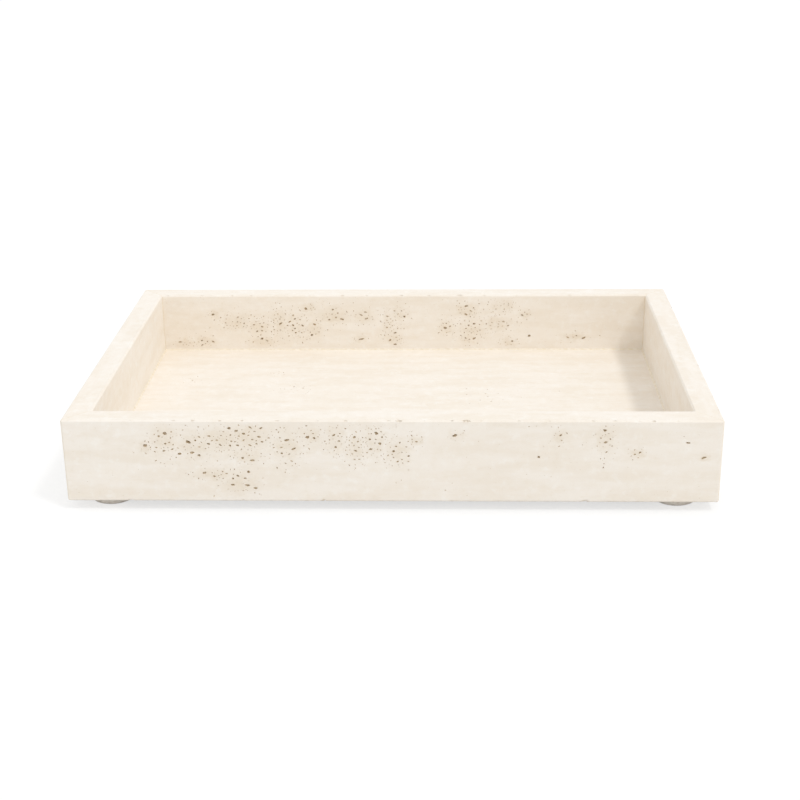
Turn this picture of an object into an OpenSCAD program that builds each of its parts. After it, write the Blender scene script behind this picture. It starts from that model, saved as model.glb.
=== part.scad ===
// Stone serving tray: four mitred wall slabs bonded round a base slab, on four soft feet.
// X runs along the length, Y from front to back and Z up. All sizes are in millimetres.
// The origin lies on the table top, under the middle of the tray.

/* [Stone body] */
// Length of the tray, left to right
tray_length = 300; // [220:1:420]
// Depth of the tray, front to back
tray_depth = 200; // [140:1:300]
// Height of the wall slabs
wall_height = 40.5; // [30:0.5:60]
// Thickness of the wall slabs
wall_thickness = 12; // [8:0.5:16]
// Thickness of the base slab
base_thickness = 7.5; // [6:0.5:12]
// Width of the bevel rubbed along the exposed edges of the stone
arris = 0.8; // [0.4:0.1:1.5]

/* [Resin joints] */
// Thickness of the resin film in each mitred corner
corner_film = 0.4; // [0.2:0.1:0.8]
// Width of the resin joint round the base slab, and how far its sloped top climbs the walls
base_gap = 0.8; // [0.5:0.1:1.5]

/* [Feet] */
// Diameter of each foot
foot_diameter = 21; // [14:0.5:26]
// Height of each foot
foot_height = 4; // [2.5:0.1:8]
// Radius of the rounded lower edge of each foot
foot_round = 1.2; // [0.5:0.1:2]
// Distance from the left or right face of the tray to the centre of a foot
foot_side_inset = 18; // [14:0.5:40]
// Distance from the front or back face of the tray to the centre of a foot
foot_front_inset = 16; // [14:0.5:40]
// Diameter of the adhesive disc on each foot
adhesive_diameter = 19; // [10:0.5:24]
// Thickness of the adhesive disc
adhesive_thickness = 0.6; // [0.3:0.1:1.5]

/* [Hidden] */

// Each corner's name, and its side of the middle in X and in Y
corners = [["front_left", -1, -1], ["front_right", 1, -1], ["back_left", -1, 1], ["back_right", 1, 1]];

stone_colour = "#f3ead9";
base_colour = "#f6eede";
resin_colour = "#eee3cf";
foot_colour = "#e4dcd0";
adhesive_colour = "#f4f1ea";

// Height of the underside of the stone over the table
stone_bottom = foot_height + adhesive_thickness;
well_length = tray_length - 2 * wall_thickness;
well_depth = tray_depth - 2 * wall_thickness;
base_length = well_length - 2 * base_gap;
base_depth = well_depth - 2 * base_gap;
// Sideways shift of a slab's mitre face from the diagonal, which leaves room for half the film
mitre_shift = corner_film / sqrt(2);
// How far a cutting shape runs past the face it cuts
past = 1;
round_fn = 96;

// Rectangle round the middle with its four corners cut off at 45 degrees
module bevelled_rectangle(length, width) {
    x = length / 2;
    y = width / 2;
    polygon([
        [arris - x, -y], [x - arris, -y], [x, arris - y], [x, y - arris],
        [x - arris, y], [arris - x, y], [-x, y - arris], [-x, arris - y]
    ]);
}

// Turns a profile drawn in X and Z, and runs it along Y
module along_y(length) rotate([90, 0, 0]) linear_extrude(length, center = true) children();

// Turns a profile drawn in Y and Z, and runs it along X
module along_x(length) rotate([90, 0, 90]) linear_extrude(length, center = true) children();

// The tray's outer block, standing on Z = 0, with a bevel on every edge
module bevelled_block() intersection() {
    linear_extrude(wall_height) bevelled_rectangle(tray_length, tray_depth);
    along_y(tray_depth) translate([0, wall_height / 2]) bevelled_rectangle(tray_length, wall_height);
    along_x(tray_length) translate([0, wall_height / 2]) bevelled_rectangle(tray_depth, wall_height);
}

// Section through the open well, which flares at the rim to leave the inner bevel
module well_section(width) {
    x = width / 2;
    flare = x + arris + past;
    polygon([
        [-x, -past], [x, -past], [x, wall_height - arris], [flare, wall_height + past],
        [-flare, wall_height + past], [-x, wall_height - arris]
    ]);
}

// All four walls as one ring, before the mitres are cut
module wall_ring() difference() {
    bevelled_block();
    intersection() {
        along_y(tray_depth) well_section(well_length);
        along_x(tray_length) well_section(well_depth);
    }
}

// The part of the ring that one slab keeps: the front one of a ring this long and this deep
module mitred_slab(length, depth) {
    outer = length / 2 - mitre_shift;
    inner = outer - wall_thickness;
    front = -depth / 2;
    translate([0, 0, -past]) linear_extrude(wall_height + 2 * past)
        polygon([
            [-outer, front], [outer, front],
            [inner, front + wall_thickness], [-inner, front + wall_thickness]
        ]);
}

// The strip along one corner's diagonal that the resin film fills
module mitre_strip() {
    reach = 2 * (wall_thickness + past);
    translate([0, 0, -past]) linear_extrude(wall_height + 2 * past)
        rotate(45) square([2 * reach, corner_film], center = true);
}

module front_wall() color(stone_colour) translate([0, 0, stone_bottom]) intersection() {
    wall_ring();
    mitred_slab(tray_length, tray_depth);
}

module back_wall() color(stone_colour) translate([0, 0, stone_bottom]) intersection() {
    wall_ring();
    rotate(180) mitred_slab(tray_length, tray_depth);
}

module left_wall() color(stone_colour) translate([0, 0, stone_bottom]) intersection() {
    wall_ring();
    rotate(-90) mitred_slab(tray_depth, tray_length);
}

module right_wall() color(stone_colour) translate([0, 0, stone_bottom]) intersection() {
    wall_ring();
    rotate(90) mitred_slab(tray_depth, tray_length);
}

module base_slab() color(base_colour)
    translate([-base_length / 2, -base_depth / 2, stone_bottom])
        cube([base_length, base_depth, base_thickness]);

// Section through the air over the floor, narrower at the foot, where the joint climbs the walls
module air_section(width) {
    x = width / 2;
    floor_z = base_thickness;
    top = wall_height + past;
    polygon([
        [base_gap - x, floor_z], [x - base_gap, floor_z], [x, floor_z + base_gap],
        [x, top], [-x, top], [-x, floor_z + base_gap]
    ]);
}

module base_joint() color(resin_colour) translate([0, 0, stone_bottom]) difference() {
    translate([-well_length / 2, -well_depth / 2, 0])
        cube([well_length, well_depth, base_thickness + base_gap]);
    translate([-base_length / 2, -base_depth / 2, -past])
        cube([base_length, base_depth, base_thickness + past]);
    intersection() {
        along_y(well_depth + past) air_section(well_length);
        along_x(well_length + past) air_section(well_depth);
    }
}

module corner_joint(corner) color(resin_colour) translate([0, 0, stone_bottom]) intersection() {
    wall_ring();
    translate([corner[1] * tray_length / 2, corner[2] * tray_depth / 2, 0])
        rotate(corner[1] * corner[2] > 0 ? 0 : 90) mitre_strip();
}

// Places a foot or its adhesive under one corner
module under_corner(corner)
    translate([
        corner[1] * (tray_length / 2 - foot_side_inset),
        corner[2] * (tray_depth / 2 - foot_front_inset), 0
    ]) children();

module foot(corner) color(foot_colour) under_corner(corner) rotate_extrude($fn = round_fn) {
    square([foot_diameter / 2 - foot_round, foot_height]);
    translate([0, foot_round]) square([foot_diameter / 2, foot_height - foot_round]);
    translate([foot_diameter / 2 - foot_round, foot_round]) circle(foot_round, $fn = round_fn);
}

module adhesive(corner) color(adhesive_colour) under_corner(corner)
    translate([0, 0, foot_height])
        cylinder(d = adhesive_diameter, h = adhesive_thickness, $fn = round_fn);

front_wall();
back_wall();
left_wall();
right_wall();
base_slab();
base_joint();
for (corner = corners) {
    corner_joint(corner);
    foot(corner);
    adhesive(corner);
}
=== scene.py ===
import math
from collections import namedtuple

import bmesh
import bpy
from bpy.props import FloatProperty, FloatVectorProperty, PointerProperty
from mathutils import Matrix, Vector, noise


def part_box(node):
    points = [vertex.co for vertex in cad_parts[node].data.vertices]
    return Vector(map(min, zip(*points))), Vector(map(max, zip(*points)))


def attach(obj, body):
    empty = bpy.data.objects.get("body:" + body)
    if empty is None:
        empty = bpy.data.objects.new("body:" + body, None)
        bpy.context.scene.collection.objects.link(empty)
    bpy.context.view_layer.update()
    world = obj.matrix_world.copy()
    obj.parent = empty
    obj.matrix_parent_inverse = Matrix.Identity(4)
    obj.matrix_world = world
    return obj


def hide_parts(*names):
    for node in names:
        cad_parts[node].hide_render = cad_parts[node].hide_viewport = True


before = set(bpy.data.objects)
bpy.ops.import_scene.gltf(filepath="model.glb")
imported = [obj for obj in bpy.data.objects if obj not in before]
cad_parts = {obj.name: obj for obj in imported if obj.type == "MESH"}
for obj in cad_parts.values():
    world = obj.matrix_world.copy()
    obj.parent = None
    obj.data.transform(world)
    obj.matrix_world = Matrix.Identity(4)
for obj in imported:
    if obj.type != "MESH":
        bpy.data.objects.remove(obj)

bl_info = {
    "name": "Stone tray",
    "version": (1, 0, 0),
    "blender": (4, 5, 0),
    "location": "3D Viewport > Sidebar > Tray",
    "description": "Gives the stone tray its pores, chips, materials and stage",
    "category": "Object",
}

MM = 0.001
WALLS = ("front_wall", "back_wall", "left_wall", "right_wall")
CORNERS = ("front_left", "front_right", "back_left", "back_right")

# Ground and streak colour of the stone, the same for all five slabs
STONE_TONES = ("#f6efe5", "#f2e9dc")

# A flat face of a slab, in millimetres: its middle, its two directions, its outward direction and its size
Face = namedtuple("Face", "middle along up out length height")

# An open pore: its place from the middle of the face, radius, length over width, tilt and depth over radius
Pit = namedtuple("Pit", "x y radius stretch tilt depth")

# Clusters of open pores. Each row holds a place as a share of the face's length and height,
# half the cluster's length and height in millimetres, and its count of pores.
FRONT_CLUSTERS = (
    (0.125, 0.67, 1, 1.5, 2), (0.155, 0.76, 4.5, 6.5, 8), (0.2, 0.68, 6.5, 5, 10),
    (0.243, 0.77, 6, 4, 6), (0.23, 0.34, 6, 1.5, 5), (0.287, 0.79, 8, 4.5, 13),
    (0.283, 0.55, 5, 2, 3), (0.27, 0.22, 7, 4, 6), (0.345, 0.68, 4.5, 6.5, 8),
    (0.38, 0.8, 4, 2.5, 4), (0.418, 0.78, 2.8, 5, 7), (0.447, 0.68, 2.5, 6, 7),
    (0.475, 0.76, 4, 6.5, 9), (0.512, 0.62, 4, 7, 5), (0.538, 0.76, 1.5, 1.5, 3),
    (0.599, 0.82, 2, 1, 2), (0.756, 0.81, 1.5, 2, 2), (0.825, 0.75, 2.5, 6, 6),
    (0.872, 0.61, 2, 0.8, 2), (0.975, 0.56, 0.5, 0.5, 1),
)
BACK_CLUSTERS = (
    (0.04, 0.1, 5, 2.5, 3), (0.085, 0.13, 4, 3, 4), (0.105, 0.65, 1, 1, 2),
    (0.15, 0.53, 6, 3.5, 6), (0.2, 0.42, 4.5, 3.5, 7), (0.205, 0.15, 6, 2, 4),
    (0.243, 0.5, 3, 6, 7), (0.275, 0.47, 4, 5.5, 9), (0.305, 0.77, 3, 1, 2),
    (0.315, 0.38, 3, 4.5, 3), (0.358, 0.62, 6, 4, 5), (0.41, 0.2, 2, 0.7, 3),
    (0.42, 0.62, 4.5, 3, 3), (0.468, 0.5, 1.2, 5, 4), (0.48, 0.22, 3, 4, 7),
    (0.495, 0.65, 3.5, 3, 4), (0.592, 0.42, 3, 3, 5), (0.635, 0.72, 4, 3.5, 5),
    (0.645, 0.42, 6, 4.5, 9), (0.64, 0.2, 4, 2, 3), (0.71, 0.8, 5, 3, 5),
    (0.7, 0.48, 6, 3, 5), (0.72, 0.15, 3, 1.5, 3), (0.755, 0.66, 2, 1, 2),
    (0.86, 0.24, 6, 1, 2),
)
BACK_OUTER_CLUSTERS = (
    (0.12, 0.3, 12, 3, 8), (0.3, 0.36, 14, 4, 12), (0.34, 0.7, 6, 4, 6),
    (0.5, 0.4, 8, 5, 8), (0.66, 0.34, 10, 3, 7), (0.84, 0.42, 12, 5, 9),
)
LEFT_CLUSTERS = ((0.2, 0.66, 9, 5, 9), (0.46, 0.72, 7, 4, 7), (0.62, 0.4, 10, 4, 7), (0.88, 0.6, 6, 6, 5))
RIGHT_CLUSTERS = ((0.14, 0.7, 7, 4, 6), (0.4, 0.6, 12, 5, 11), (0.7, 0.74, 6, 3, 5), (0.84, 0.36, 8, 4, 5))
FLOOR_CLUSTERS = ((0.08, 0.72, 3, 3, 1), (0.25, 0.78, 2, 2, 1), (0.3, 0.65, 6, 4, 2), (0.67, 0.58, 10, 8, 3))

# The boldest pores, in millimetres: distance from the left end and from the lower edge of the face,
# radius, and length over width
FRONT_BOLD = (
    (37.5, 28, 0.9, 1.2), (47, 34, 0.8, 1.3), (57.5, 29.8, 0.9, 1.5), (62, 28.7, 0.6, 1.2),
    (62, 23.2, 0.7, 1.3), (76.5, 36.6, 0.7, 1.4), (84, 22.8, 0.8, 1.2), (84.3, 15, 0.7, 1.2),
    (112, 32.3, 0.8, 1.3), (124.3, 32, 0.8, 1), (143.2, 34.3, 0.8, 1.2), (151, 25.4, 0.6, 1.2),
    (160.5, 30.3, 0.6, 1.2), (162, 32, 0.5, 1.3), (178.8, 33.2, 0.7, 1.8), (216.8, 22.7, 0.6, 1.2),
    (246.2, 35.8, 0.7, 1.3), (283.7, 29.8, 0.5, 2.4), (297.2, 12, 0.6, 1),
)
BACK_BOLD = (
    (29, 21.5, 0.7, 1.3), (82, 25, 0.7, 1.4), (85, 9, 0.7, 1.2), (113.5, 6.5, 0.6, 3),
    (129, 8.5, 0.8, 1.2), (138.5, 20.2, 0.7, 1.2), (162, 13.3, 0.8, 1.3), (200.5, 5.2, 0.6, 1.3),
    (210.2, 8.5, 0.7, 1.4),
)

# Chips along the lower and the upper edge of the front face: distance from the left end, radius and stretch
LOW_CHIPS = ((29, 1.1, 1.8), (81, 0.9, 1.6), (118.7, 1, 1.4), (238, 1.1, 2))
TOP_CHIPS = ((153.5, 0.8, 2.2), (184, 0.8, 2.6), (60, 0.5, 2), (268, 0.5, 2))

# Odd numbers that stir the sine in chance(), so that its last digits are as good as random
STIR_STEP = 12.9898
STIR_GAIN = 43758.5453
GOLDEN_TURN = 137.508
CLUSTER_STRIDE = 97
STRAY = 0.25
# How far a stain runs past its cluster along the face, up the face and into the slab, in millimetres
STAIN_REACH = (2.5, 2, 5)
# Share of a pore's radius that its middle lies under the face
SUNK = 0.15
# Least stone between a pore and the edge of its face, in millimetres
EDGE_MARGIN = 1.6
# Width of the bevel along the edges of the slabs, in millimetres, as in the solids
ARRIS = 0.8
# Pores with at least this radius in millimetres are drawn with the finer ball
ROUND_BALL_FROM = 0.45
# How many pores are drawn for each one counted in a cluster, and how many fine ones go round each of those
PORES_PER_COUNT = 2
FINE_PER_PORE = 4
FINE_SPREAD = 1.6
# How far a lumpy pore may reach, as a share of its radius and stretch
LUMP_REACH = 1.5


def chance(number):
    """A fraction from 0 to 1 that looks random and is the same each time for the same number."""
    stirred = STIR_GAIN * math.sin(math.radians(STIR_STEP * number))
    return stirred - math.floor(stirred)


def linear(code):
    """The linear colour of a hex sRGB code."""
    parts = [int(code[i:i + 2], 16) / 255 for i in (1, 3, 5)]
    return [p / 12.92 if p <= 0.04045 else ((p + 0.055) / 1.055) ** 2.4 for p in parts] + [1.0]


def put(tree, kind, inputs=None, **settings):
    """Adds a node with its settings, and sets or links its inputs."""
    node = tree.nodes.new(kind)
    for name, value in settings.items():
        setattr(node, name, value)
    for key, value in (inputs or {}).items():
        if isinstance(value, bpy.types.NodeSocket):
            tree.links.new(value, node.inputs[key])
        else:
            node.inputs[key].default_value = value
    return node


def new_material(name):
    """An empty material and its node tree, with the output already there."""
    material = bpy.data.materials.new(name)
    material.use_nodes = True
    tree = material.node_tree
    tree.nodes.clear()
    return material, tree


def blend_colours(tree, share, first, second):
    """A socket with the second colour laid over the first by this share."""
    mix = put(tree, "ShaderNodeMix", {0: share, 6: first, 7: second}, data_type="RGBA")
    return mix.outputs[2]


def remap(tree, value, low, high, to_low=0.0, to_high=1.0):
    """A socket that runs smoothly from to_low to to_high while the value runs from low to high."""
    inputs = {"Value": value, "From Min": low, "From Max": high, "To Min": to_low, "To Max": to_high}
    return put(tree, "ShaderNodeMapRange", inputs, interpolation_type="SMOOTHSTEP").outputs["Result"]


def millimetres(tree, scale=(1, 1, 1), shift=(0, 0, 0)):
    """A socket with the place on the object in millimetres, scaled and shifted."""
    coordinates = put(tree, "ShaderNodeTexCoord")
    factors = [s / MM for s in scale]
    inputs = {"Vector": coordinates.outputs["Object"], "Location": shift, "Scale": factors}
    return put(tree, "ShaderNodeMapping", inputs).outputs["Vector"]


def grain(tree, vector, scale, detail=3, roughness=0.55):
    """A socket with fractal noise at this many patches per unit of the vector."""
    inputs = {"Vector": vector, "Scale": scale, "Detail": detail, "Roughness": roughness}
    return put(tree, "ShaderNodeTexNoise", inputs).outputs["Fac"]


def stain(tree, spot, face, clusters):
    """A socket that is 1 in the middle of each cluster of pores and falls to 0 round it."""
    total = None
    for cluster in clusters:
        middle = face.middle + face.along * ((cluster[0] - 0.5) * face.length)
        middle = middle + face.up * ((cluster[1] - 0.5) * face.height)
        reach = [
            abs(face.along[i]) * (cluster[2] + STAIN_REACH[0])
            + abs(face.up[i]) * (cluster[3] + STAIN_REACH[1])
            + abs(face.out[i]) * STAIN_REACH[2]
            for i in range(3)
        ]
        away = put(tree, "ShaderNodeVectorMath", {0: spot, 1: middle}, operation="SUBTRACT")
        share = put(tree, "ShaderNodeVectorMath", {0: away.outputs[0], 1: reach}, operation="DIVIDE")
        far = put(tree, "ShaderNodeVectorMath", {0: share.outputs[0]}, operation="LENGTH")
        near = remap(tree, far.outputs["Value"], 0.25, 1.25, 1.0, 0.0)
        if total is not None:
            near = put(tree, "ShaderNodeMath", {0: total, 1: near}, operation="MAXIMUM").outputs[0]
        total = near
    return total


def honed_travertine(name, bed, shift, stained=()):
    """Cream travertine, sawn and honed. bed is the direction of its beds.
    stained lists the faces and the clusters that are tinted brown."""
    settings = bpy.context.scene.tray_stone
    material, tree = new_material(name)
    spot = millimetres(tree, shift=shift)
    # Beds: long soft streaks of a warmer cream along the slab, a few millimetres thick
    across = 1 / (settings.bed_thickness / MM)
    lengthwise = across / settings.bed_stretch
    scale = [lengthwise if bed[i] else across for i in range(3)]
    beds = grain(tree, millimetres(tree, scale, shift), 1.0, 5, 0.6)
    # Mottling: cloudy patches of 3 to 6 mm, as honed travertine shows up close
    mottle = grain(tree, spot, 0.22, 4, 0.6)
    broad = grain(tree, spot, 0.02, 3, 0.5)
    ground, streak = [linear(tone) for tone in STONE_TONES]
    colour = blend_colours(tree, remap(tree, beds, 0.38, 0.66), ground, streak)
    colour = blend_colours(tree, remap(tree, mottle, 0.5, 0.72, 0.0, 0.4), colour, linear("#fcf9f3"))
    colour = blend_colours(tree, remap(tree, mottle, 0.46, 0.3, 0.0, 0.2), colour, linear("#e8dcc8"))
    colour = blend_colours(tree, remap(tree, broad, 0.45, 0.7, 0.0, 0.2), colour, linear("#f1e6d6"))
    # Specks: tiny tan grains, drawn at 0.8 mm, coarser than real ones, so that they show at all
    specks = grain(tree, spot, 1.2, 2, 0.5)
    colour = blend_colours(tree, remap(tree, specks, 0.66, 0.76, 0.0, 0.3), colour, linear("#cfbb9a"))
    for face, clusters in stained:
        # Warm clouds round the open pores, where iron in the water has tinted the stone
        warp = put(tree, "ShaderNodeTexNoise", {"Vector": spot, "Scale": 0.3, "Detail": 3.0})
        inputs = {0: warp.outputs["Color"], 1: (7, 7, 7), 2: (-3.5, -3.5, -3.5)}
        drift = put(tree, "ShaderNodeVectorMath", inputs, operation="MULTIPLY_ADD")
        plain = millimetres(tree)
        moved = put(tree, "ShaderNodeVectorMath", {0: plain, 1: drift.outputs[0]}, operation="ADD")
        cloud = stain(tree, moved.outputs[0], face, clusters)
        strength = put(tree, "ShaderNodeMath", {0: cloud, 1: settings.stain_strength}, operation="MULTIPLY")
        patches = remap(tree, mottle, 0.32, 0.62, 0.25, 1.0)
        torn = put(tree, "ShaderNodeMath", {0: strength.outputs[0], 1: patches}, operation="MULTIPLY")
        colour = blend_colours(tree, torn.outputs[0], colour, linear("#d6c09b"))
    # Relief: the honing leaves a very fine tooth that breaks up the sheen
    tooth = grain(tree, spot, 2.5, 4, 0.6)
    height = put(tree, "ShaderNodeMath", {0: tooth, 1: mottle}, operation="ADD").outputs[0]
    bump = put(tree, "ShaderNodeBump", {"Height": height, "Strength": 0.25, "Distance": settings.tooth_depth})
    inputs = {
        "Base Color": colour, "IOR": 1.5, "Normal": bump.outputs["Normal"],
        "Roughness": remap(tree, mottle, 0.3, 0.7, 0.62, 0.48),
    }
    shader = put(tree, "ShaderNodeBsdfPrincipled", inputs)
    put(tree, "ShaderNodeOutputMaterial", {"Surface": shader.outputs[0]})
    return material


def pore_lining():
    """The brown crystalline crust inside the open pores, matt, so that each pore reads as a dark fleck."""
    material, tree = new_material("travertine_open_pore_crust")
    crust = grain(tree, millimetres(tree), 1.6, 4, 0.6)
    colour = blend_colours(tree, remap(tree, crust, 0.35, 0.65), linear("#b9a17c"), linear("#e6d9c4"))
    inputs = {"Base Color": colour, "Roughness": 0.9, "IOR": 1.5}
    shader = put(tree, "ShaderNodeBsdfPrincipled", inputs)
    put(tree, "ShaderNodeOutputMaterial", {"Surface": shader.outputs[0]})
    return material


def tinted_resin():
    """Stone adhesive tinted to the cream and rubbed flush, a little smoother than the stone beside it."""
    material, tree = new_material("tinted_polyester_resin_rubbed_flush")
    cloud = grain(tree, millimetres(tree), 0.4, 3, 0.5)
    colour = blend_colours(tree, remap(tree, cloud, 0.35, 0.65), linear("#f3eadb"), linear("#ebdfc9"))
    inputs = {"Base Color": colour, "Roughness": remap(tree, cloud, 0.3, 0.7, 0.42, 0.55), "IOR": 1.54}
    shader = put(tree, "ShaderNodeBsdfPrincipled", inputs)
    put(tree, "ShaderNodeOutputMaterial", {"Surface": shader.outputs[0]})
    return material


def silicone_rubber():
    """Off-white silicone, moulded in a blasted tool: an even satin skin with faint dust on it."""
    material, tree = new_material("moulded_silicone_rubber_satin")
    spot = millimetres(tree)
    dust = grain(tree, spot, 0.5, 3, 0.6)
    colour = blend_colours(tree, remap(tree, dust, 0.4, 0.7), linear("#e6e0d8"), linear("#dcd3c8"))
    skin = grain(tree, spot, 4.0, 2, 0.5)
    bump = put(tree, "ShaderNodeBump", {"Height": skin, "Strength": 0.2, "Distance": 0.02 * MM})
    inputs = {
        "Base Color": colour, "Roughness": remap(tree, dust, 0.3, 0.7, 0.42, 0.6),
        "IOR": 1.41, "Normal": bump.outputs["Normal"],
    }
    shader = put(tree, "ShaderNodeBsdfPrincipled", inputs)
    put(tree, "ShaderNodeOutputMaterial", {"Surface": shader.outputs[0]})
    return material


def foam_adhesive():
    """White acrylic foam tape, die-cut: its open cells give a matt, slightly uneven edge."""
    material, tree = new_material("acrylic_foam_tape_die_cut")
    cells = grain(tree, millimetres(tree), 3.0, 2, 0.5)
    colour = blend_colours(tree, remap(tree, cells, 0.35, 0.65), linear("#f2efe8"), linear("#e2ddd2"))
    inputs = {"Base Color": colour, "Roughness": 0.85, "IOR": 1.47}
    shader = put(tree, "ShaderNodeBsdfPrincipled", inputs)
    put(tree, "ShaderNodeOutputMaterial", {"Surface": shader.outputs[0]})
    return material


def box_mm(node):
    """Lowest and highest corner of a CAD node in millimetres."""
    low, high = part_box(node)
    return low / MM, high / MM


def upright_face(node, out, inner=False):
    """The outer or inner upright face of a wall slab. The inner one starts at the tray floor."""
    low, high = box_mm(node)
    out = Vector(out)
    along = out.cross(Vector((0, 0, -1)))
    base = box_mm("base_slab")[1].z if inner else low.z
    middle = (low + high) / 2
    middle.z = (base + high.z) / 2
    half = [(high[i] - low[i]) / 2 for i in range(3)]
    middle = middle + Vector([out[i] * half[i] for i in range(3)])
    length = abs(along.dot(high - low))
    if inner:
        length -= 2 * min(high.x - low.x, high.y - low.y)
    return Face(middle, along, Vector((0, 0, 1)), out, length, high.z - base)


def floor_face():
    """The tray floor: the top of the base slab."""
    low, high = box_mm("base_slab")
    middle = Vector(((low.x + high.x) / 2, (low.y + high.y) / 2, high.z))
    along, up, out = Vector((1, 0, 0)), Vector((0, 1, 0)), Vector((0, 0, 1))
    return Face(middle, along, up, out, high.x - low.x, high.y - low.y)


def edge_face(face, top):
    """The bevel along the top or bottom edge of an upright face, looking out at 45 degrees."""
    side = 1 if top else -1
    middle = face.middle + face.up * (side * (face.height / 2 - ARRIS / 2)) - face.out * (ARRIS / 2)
    out = (face.out + face.up * side).normalized()
    return Face(middle, face.along, out.cross(face.along), out, face.length, 0)


def pores_of(clusters, face, seed):
    """The open pores of every cluster, spread by the golden angle and stirred by chance."""
    settings = bpy.context.scene.tray_stone
    least = settings.pore_least / MM
    most = settings.pore_most / MM
    pits = []
    for c, (share_x, share_y, half_x, half_y, count) in enumerate(clusters):
        start = seed + CLUSTER_STRIDE * c
        count *= PORES_PER_COUNT
        fine_count = FINE_PER_PORE * count
        for i in range(count + fine_count):
            fine = i >= count
            rank = (i - count + 0.5) / fine_count if fine else (i + 0.5) / count
            reach = math.sqrt(rank) * (FINE_SPREAD if fine else 1)
            turn = math.radians(GOLDEN_TURN * i + 360 * chance(start))
            draw = start + 5 * i
            wide = 0.5 if fine else STRAY
            x = (share_x - 0.5) * face.length
            x += (half_x + fine) * (reach * math.cos(turn) + wide * (2 * chance(draw + 2) - 1))
            y = (share_y - 0.5) * face.height
            y += (half_y + fine) * (reach * math.sin(turn) + wide * (2 * chance(draw + 3) - 1))
            if fine:
                radius = 0.12 + 0.2 * chance(draw + 1) ** 2
            else:
                radius = least + (most - least) * chance(draw + 1) ** 2
            tilt = math.radians((80 if fine else 35) * (2 * chance(draw + 4) - 1))
            pits.append(Pit(x, y, radius, 1 + 1.2 * chance(draw + 6), tilt, 0.8 + 0.5 * chance(draw + 7)))
    return pits


def bold_pits(rows, face):
    """The pores placed one by one, from their distances to the face's left end and lower edge."""
    return [
        Pit(
            x - face.length / 2, y - face.height / 2, radius, stretch,
            math.radians(50 * (chance(x) - 0.5)), 1.2,
        )
        for x, y, radius, stretch in rows
    ]


def chip_pits(rows, face):
    """Chips along an edge, from their distance to the face's left end."""
    return [Pit(x - face.length / 2, 0, radius, stretch, 0.0, 0.8) for x, radius, stretch in rows]


def scattered(face, count, seed):
    """Lone fine pores anywhere on a face."""
    pits = []
    for i in range(count):
        draw = seed + 7 * i
        x = (chance(draw) - 0.5) * face.length
        y = (chance(draw + 1) - 0.5) * face.height
        pits.append(Pit(x, y, 0.1 + 0.16 * chance(draw + 2) ** 2, 1 + chance(draw + 3), 0.0, 1.2))
    return pits


def nibbles(face, spacing, seed):
    """Tiny breaks along a bevel, one every few millimetres, so that the edge isn't machine straight."""
    pits = []
    x = 3 - face.length / 2
    number = seed
    while x < face.length / 2 - 3:
        radius = 0.3 + 0.3 * chance(number) ** 2
        pits.append(Pit(x, 0, radius, 1.2 + 1.6 * chance(number + 1), 0.0, 0.55))
        x += spacing * (0.5 + 1.2 * chance(number + 2)) + 3
        number += 3
    return pits


def kept_apart(pits, face):
    """The pits that lie inside the face and touch no larger one."""
    kept = []
    for pit in sorted(pits, key=lambda p: -p.radius * p.stretch):
        reach = LUMP_REACH * pit.radius * pit.stretch
        if abs(pit.x) > face.length / 2 - EDGE_MARGIN - reach:
            continue
        if face.height and abs(pit.y) > face.height / 2 - EDGE_MARGIN - reach:
            continue
        gaps = (
            math.hypot(pit.x - k.x, pit.y - k.y) - reach - LUMP_REACH * k.radius * k.stretch
            for k in kept
        )
        if all(gap > 0 for gap in gaps):
            kept.append(pit)
    return kept


def ball(subdivisions):
    """Points and faces of a ball of radius 1."""
    mesh = bmesh.new()
    bmesh.ops.create_icosphere(mesh, subdivisions=subdivisions, radius=1)
    points = [v.co.copy() for v in mesh.verts]
    faces = [[v.index for v in f.verts] for f in mesh.faces]
    mesh.free()
    return points, faces


def add_pits(face, pits, points, faces, kinds, kind):
    """Adds one lumpy, stretched ball for each pit. They are cut from the slab later."""
    fine_ball = ball(2)
    round_ball = ball(3)
    for pit in pits:
        directions, shape = round_ball if pit.radius >= ROUND_BALL_FROM else fine_ball
        start = len(points)
        seed = Vector((pit.x, pit.y, 17 * pit.radius))
        for d in directions:
            lump = pit.radius * (0.9 + 0.5 * noise.noise(1.9 * d + seed) + 0.25 * noise.noise(4 * d - seed))
            x = d.x * lump * pit.stretch
            y = d.y * lump
            out = d.z * lump * pit.depth - SUNK * pit.radius
            place_x = pit.x + x * math.cos(pit.tilt) - y * math.sin(pit.tilt)
            place_y = pit.y + x * math.sin(pit.tilt) + y * math.cos(pit.tilt)
            point = face.middle + face.along * place_x + face.up * place_y + face.out * out
            points.append(point * MM)
        faces.extend([start + i for i in f] for f in shape)
        kinds.extend([kind] * len(shape))


def welded_copy(node):
    """A clean closed mesh with the shape of a CAD node."""
    work = bmesh.new()
    work.from_mesh(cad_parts[node].data)
    bmesh.ops.remove_doubles(work, verts=work.verts, dist=0.002 * MM)
    bmesh.ops.dissolve_limit(work, angle_limit=math.radians(0.5), verts=work.verts, edges=work.edges)
    work.verts.index_update()
    mesh = bpy.data.meshes.new(node + "_stone")
    mesh.from_pydata([v.co for v in work.verts], [], [[v.index for v in f.verts] for f in work.faces])
    work.free()
    return mesh


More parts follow.
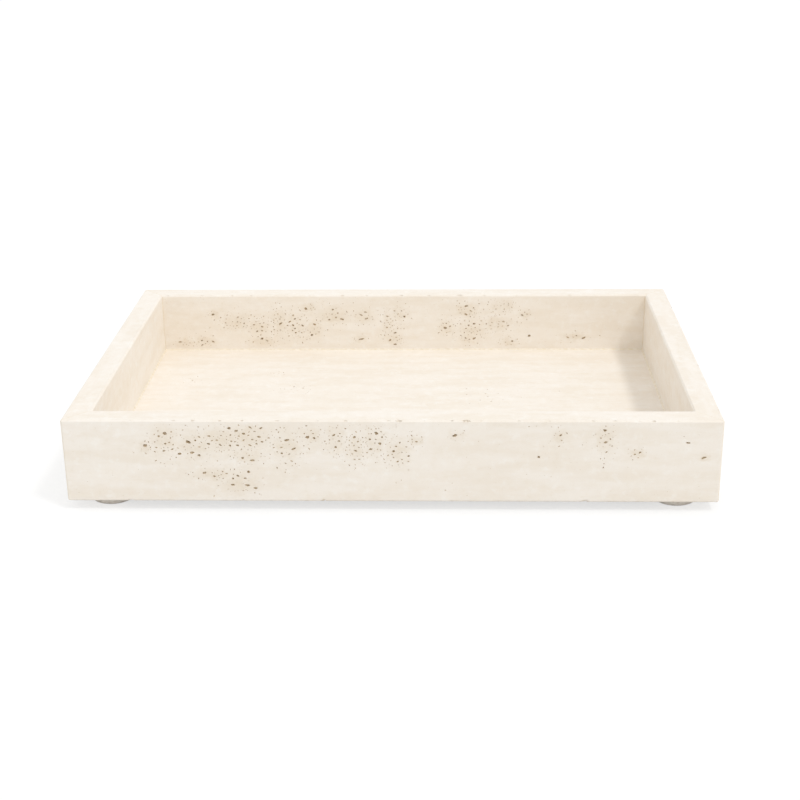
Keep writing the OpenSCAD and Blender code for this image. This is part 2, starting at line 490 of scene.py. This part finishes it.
def carved_slab(node, cuts, materials):
    """Cuts pits out of a slab. cuts lists (face, pits, kind).
    Pits of kind 1 have the brown crust, and those of kind 0 show bare stone."""
    slab = bpy.data.objects.new(node + "_stone", welded_copy(node))
    bpy.context.scene.collection.objects.link(slab)
    points = []
    faces = []
    kinds = []
    for face, pits, kind in cuts:
        add_pits(face, kept_apart(pits, face), points, faces, kinds, kind)
    mesh = bpy.data.meshes.new(node + "_cutter")
    mesh.from_pydata(points, [], faces)
    cutter = bpy.data.objects.new(node + "_cutter", mesh)
    bpy.context.scene.collection.objects.link(cutter)
    for material in materials:
        slab.data.materials.append(material)
        mesh.materials.append(material)
    mesh.polygons.foreach_set("material_index", kinds)
    modifier = slab.modifiers.new("pores", "BOOLEAN")
    modifier.operation = "DIFFERENCE"
    modifier.solver = "MANIFOLD"
    modifier.object = cutter
    bpy.context.view_layer.update()
    evaluated = slab.evaluated_get(bpy.context.evaluated_depsgraph_get())
    carved = bpy.data.meshes.new_from_object(evaluated)
    if len(carved.polygons) < len(faces) / 4:
        raise RuntimeError(f"{node}: the pores weren't cut")
    slab.modifiers.clear()
    slab.data = carved
    bpy.data.objects.remove(cutter)
    carved.shade_smooth()
    carved.set_sharp_from_angle(angle=math.radians(28))
    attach(slab, "root")
    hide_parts(node)
    return slab


def give_material(nodes, material):
    """Puts one material on CAD nodes that keep their own mesh."""
    for node in nodes:
        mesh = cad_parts[node].data
        mesh.materials.clear()
        mesh.materials.append(material)


class StoneSettings(bpy.types.PropertyGroup):
    """Sizes of the stone's beds and pores."""

    pore_least: FloatProperty(
        name="Smallest pore", description="Radius of the smallest open pore",
        default=0.00026, precision=5, unit="LENGTH")
    pore_most: FloatProperty(
        name="Largest pore", description="Radius of the largest pore of a cluster",
        default=0.00062, precision=5, unit="LENGTH")
    bed_thickness: FloatProperty(
        name="Bed thickness", description="Thickness of one streak of the stone's beds",
        default=0.007, precision=4, unit="LENGTH")
    bed_stretch: FloatProperty(
        name="Bed stretch", description="How many times longer than thick a streak is", default=5.0)
    stain_strength: FloatProperty(
        name="Stain", description="Strength of the brown clouds round the pores",
        default=0.3, subtype="FACTOR")
    tooth_depth: FloatProperty(
        name="Tooth", description="Depth of the fine relief left by honing",
        default=0.00008, precision=6, unit="LENGTH")


class StageSettings(bpy.types.PropertyGroup):
    """Camera and light of the studio."""

    camera_place: FloatVectorProperty(
        name="Camera place", description="Place of the camera in the tray's frame",
        default=(0.0264, -0.7056, 0.2941), subtype="TRANSLATION")
    camera_pitch: FloatProperty(
        name="Pitch", description="How far the camera looks down",
        default=math.radians(21.53), subtype="ANGLE")
    camera_yaw: FloatProperty(
        name="Yaw", description="How far the camera looks to the right",
        default=math.radians(-2.05), subtype="ANGLE")
    camera_roll: FloatProperty(
        name="Roll", description="Roll of the camera round its own axis",
        default=math.radians(-0.71), subtype="ANGLE")
    lens: FloatProperty(
        name="Lens", description="Focal length in millimetres on a 36 mm sensor", default=65.475)
    key_strength: FloatProperty(
        name="Key light", description="Strength of the light from the upper right", default=0.85)
    ambient: FloatProperty(
        name="Ambient", description="Strength of the even light from all round", default=0.84)


class TRAY_OT_walls(bpy.types.Operator):
    """Carves the pores and chips of the four wall slabs and gives them their stone."""

    bl_idname = "tray.walls"
    bl_label = "Build the wall slabs"

    def execute(self, context):
        lining = bpy.data.materials.get("travertine_open_pore_crust") or pore_lining()
        front = upright_face("front_wall", (0, -1, 0))
        back = upright_face("back_wall", (0, 1, 0))
        inner = upright_face("back_wall", (0, -1, 0), inner=True)
        left = upright_face("left_wall", (-1, 0, 0))
        right = upright_face("right_wall", (1, 0, 0))
        cuts = {
            "front_wall": [
                (front, bold_pits(FRONT_BOLD, front) + pores_of(FRONT_CLUSTERS, front, 1)
                 + scattered(front, 60, 40), 1),
                (edge_face(front, False), chip_pits(LOW_CHIPS, front) + nibbles(front, 9, 300), 0),
                (edge_face(front, True), chip_pits(TOP_CHIPS, front) + nibbles(front, 11, 400), 0),
            ],
            "back_wall": [
                (inner, bold_pits(BACK_BOLD, inner) + pores_of(BACK_CLUSTERS, inner, 3)
                 + scattered(inner, 40, 50), 1),
                (back, pores_of(BACK_OUTER_CLUSTERS, back, 5) + scattered(back, 50, 60), 1),
                (edge_face(inner, True), nibbles(inner, 12, 500), 0),
                (edge_face(back, False), nibbles(back, 12, 600), 0),
            ],
            "left_wall": [
                (left, pores_of(LEFT_CLUSTERS, left, 7) + scattered(left, 40, 70), 1),
                (edge_face(left, True), nibbles(left, 12, 700), 0),
                (edge_face(left, False), nibbles(left, 12, 710), 0),
            ],
            "right_wall": [
                (right, pores_of(RIGHT_CLUSTERS, right, 9) + scattered(right, 40, 80), 1),
                (edge_face(right, True), nibbles(right, 12, 800), 0),
                (edge_face(right, False), nibbles(right, 12, 810), 0),
            ],
        }
        stained = {
            "front_wall": [(front, FRONT_CLUSTERS)],
            "back_wall": [(inner, BACK_CLUSTERS)],
            "left_wall": [(left, LEFT_CLUSTERS)],
            "right_wall": [(right, RIGHT_CLUSTERS)],
        }
        for number, node in enumerate(WALLS):
            bed = (1, 0, 0) if number < 2 else (0, 1, 0)
            shift = (37 * number, 53 * number, 11 * number)
            stone = honed_travertine("honed_travertine_" + node, bed, shift, stained[node])
            carved_slab(node, cuts[node], (stone, lining))
        return {"FINISHED"}


class TRAY_OT_base(bpy.types.Operator):
    """Carves the few pores of the base slab and gives it its stone."""

    bl_idname = "tray.base"
    bl_label = "Build the base slab"

    def execute(self, context):
        lining = bpy.data.materials.get("travertine_open_pore_crust") or pore_lining()
        floor = floor_face()
        stone = honed_travertine("honed_travertine_base_slab", (1, 0, 0), (211, 89, 31))
        pits = pores_of(FLOOR_CLUSTERS, floor, 13) + scattered(floor, 24, 90)
        carved_slab("base_slab", [(floor, pits, 1)], (stone, lining))
        return {"FINISHED"}


class TRAY_OT_joints(bpy.types.Operator):
    """Gives the resin joints their material."""

    bl_idname = "tray.joints"
    bl_label = "Finish the resin joints"

    def execute(self, context):
        give_material(["base_joint"] + [c + "_joint" for c in CORNERS], tinted_resin())
        return {"FINISHED"}


class TRAY_OT_feet(bpy.types.Operator):
    """Gives the feet and their adhesive discs their materials."""

    bl_idname = "tray.feet"
    bl_label = "Finish the feet"

    def execute(self, context):
        give_material([c + "_foot" for c in CORNERS], silicone_rubber())
        give_material([c + "_adhesive" for c in CORNERS], foam_adhesive())
        return {"FINISHED"}


class TRAY_OT_stage(bpy.types.Operator):
    """Sets the pale floor, the studio light and the camera."""

    bl_idname = "tray.stage"
    bl_label = "Set the stage"

    def execute(self, context):
        settings = context.scene.tray_stage
        make_floor()
        light = bpy.data.lights.new("key", "SUN")
        light.energy = settings.key_strength
        light.angle = math.radians(9)
        light.color = linear("#ffffff")[:3]
        key = bpy.data.objects.new("key", light)
        context.scene.collection.objects.link(key)
        key.rotation_mode = "QUATERNION"
        key.rotation_quaternion = Vector((0.42, -0.3, 0.86)).to_track_quat("Z", "Y")
        make_world(settings.ambient)
        make_camera(settings)
        context.scene.view_settings.view_transform = "Standard"
        return {"FINISHED"}


def make_floor():
    """A wide pale paper floor. The background is white and the shadow shows."""
    half = 8.0
    mesh = bpy.data.meshes.new("studio_floor")
    corners = [(-half, -half, 0), (half, -half, 0), (half, half, 0), (-half, half, 0)]
    mesh.from_pydata(corners, [], [(0, 1, 2, 3)])
    floor = bpy.data.objects.new("studio_floor", mesh)
    bpy.context.scene.collection.objects.link(floor)
    material, tree = new_material("matt_pale_backdrop_paper")
    fibre = grain(tree, millimetres(tree), 0.01, 2, 0.5)
    colour = blend_colours(tree, remap(tree, fibre, 0.3, 0.7), linear("#efefef"), linear("#ececeb"))
    paper = put(tree, "ShaderNodeBsdfDiffuse", {"Color": colour})
    # The paper is pale grey to the light that it bounces at the stone. The camera alone sees part of it as
    # plain white, which brings the background up to white and keeps the shadow faint.
    white = put(tree, "ShaderNodeEmission", {"Color": linear("#ffffff"), "Strength": 1.15})
    path = put(tree, "ShaderNodeLightPath")
    share = put(tree, "ShaderNodeMath", {0: path.outputs["Is Camera Ray"], 1: 0.55}, operation="MULTIPLY")
    mixed = put(tree, "ShaderNodeMixShader", {0: share.outputs[0], 1: paper.outputs[0], 2: white.outputs[0]})
    put(tree, "ShaderNodeOutputMaterial", {"Surface": mixed.outputs[0]})
    mesh.materials.append(material)


def make_world(ambient):
    """Even light from all round. The camera and reflections see plain white."""
    world = bpy.data.worlds.new("studio")
    world.use_nodes = True
    tree = world.node_tree
    tree.nodes.clear()
    path = put(tree, "ShaderNodeLightPath")
    seen = path.outputs["Is Camera Ray"]
    for ray in ("Is Glossy Ray", "Is Transmission Ray"):
        seen = put(tree, "ShaderNodeMath", {0: seen, 1: path.outputs[ray]}, operation="MAXIMUM").outputs[0]
    lamp = put(tree, "ShaderNodeBackground", {"Color": linear("#ffffff"), "Strength": ambient})
    white = put(tree, "ShaderNodeBackground", {"Color": linear("#ffffff"), "Strength": 1.0})
    mix = put(tree, "ShaderNodeMixShader", {0: seen, 1: lamp.outputs[0], 2: white.outputs[0]})
    put(tree, "ShaderNodeOutputWorld", {"Surface": mix.outputs[0]})
    bpy.context.scene.world = world


def make_camera(settings):
    """The camera at the angle that the tray is shown from."""
    data = bpy.data.cameras.new("camera")
    data.lens = settings.lens
    data.sensor_width = 36
    data.clip_start = 0.01
    camera = bpy.data.objects.new("camera", data)
    bpy.context.scene.collection.objects.link(camera)
    pitch, yaw, roll = settings.camera_pitch, settings.camera_yaw, settings.camera_roll
    ahead = Vector((math.sin(yaw) * math.cos(pitch), math.cos(yaw) * math.cos(pitch), -math.sin(pitch)))
    side = Vector((math.cos(yaw), -math.sin(yaw), 0))
    above = side.cross(ahead)
    turned_side = side * math.cos(roll) + above * math.sin(roll)
    turned_above = above * math.cos(roll) - side * math.sin(roll)
    turn = Matrix((turned_side, turned_above, -ahead)).transposed().to_4x4()
    camera.matrix_world = Matrix.Translation(settings.camera_place) @ turn
    bpy.context.scene.camera = camera


class TRAY_PT_panel(bpy.types.Panel):
    """Buttons and sizes of the stone tray."""

    bl_idname = "TRAY_PT_panel"
    bl_label = "Stone tray"
    bl_space_type = "VIEW_3D"
    bl_region_type = "UI"
    bl_category = "Tray"

    def draw(self, context):
        layout = self.layout
        for group in (context.scene.tray_stone, context.scene.tray_stage):
            for name in group.__annotations__:
                layout.prop(group, name)
        for operator in OPERATORS:
            layout.operator(operator.bl_idname)


OPERATORS = (TRAY_OT_walls, TRAY_OT_base, TRAY_OT_joints, TRAY_OT_feet, TRAY_OT_stage)
CLASSES = (StoneSettings, StageSettings) + OPERATORS + (TRAY_PT_panel,)


def register():
    for cls in CLASSES:
        bpy.utils.register_class(cls)
    bpy.types.Scene.tray_stone = PointerProperty(type=StoneSettings)
    bpy.types.Scene.tray_stage = PointerProperty(type=StageSettings)


def unregister():
    del bpy.types.Scene.tray_stage
    del bpy.types.Scene.tray_stone
    for cls in reversed(CLASSES):
        bpy.utils.unregister_class(cls)


def main():
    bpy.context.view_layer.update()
    register()
    bpy.ops.tray.walls()
    bpy.ops.tray.base()
    bpy.ops.tray.joints()
    bpy.ops.tray.feet()
    bpy.ops.tray.stage()


if __name__ == "__main__":
    main()
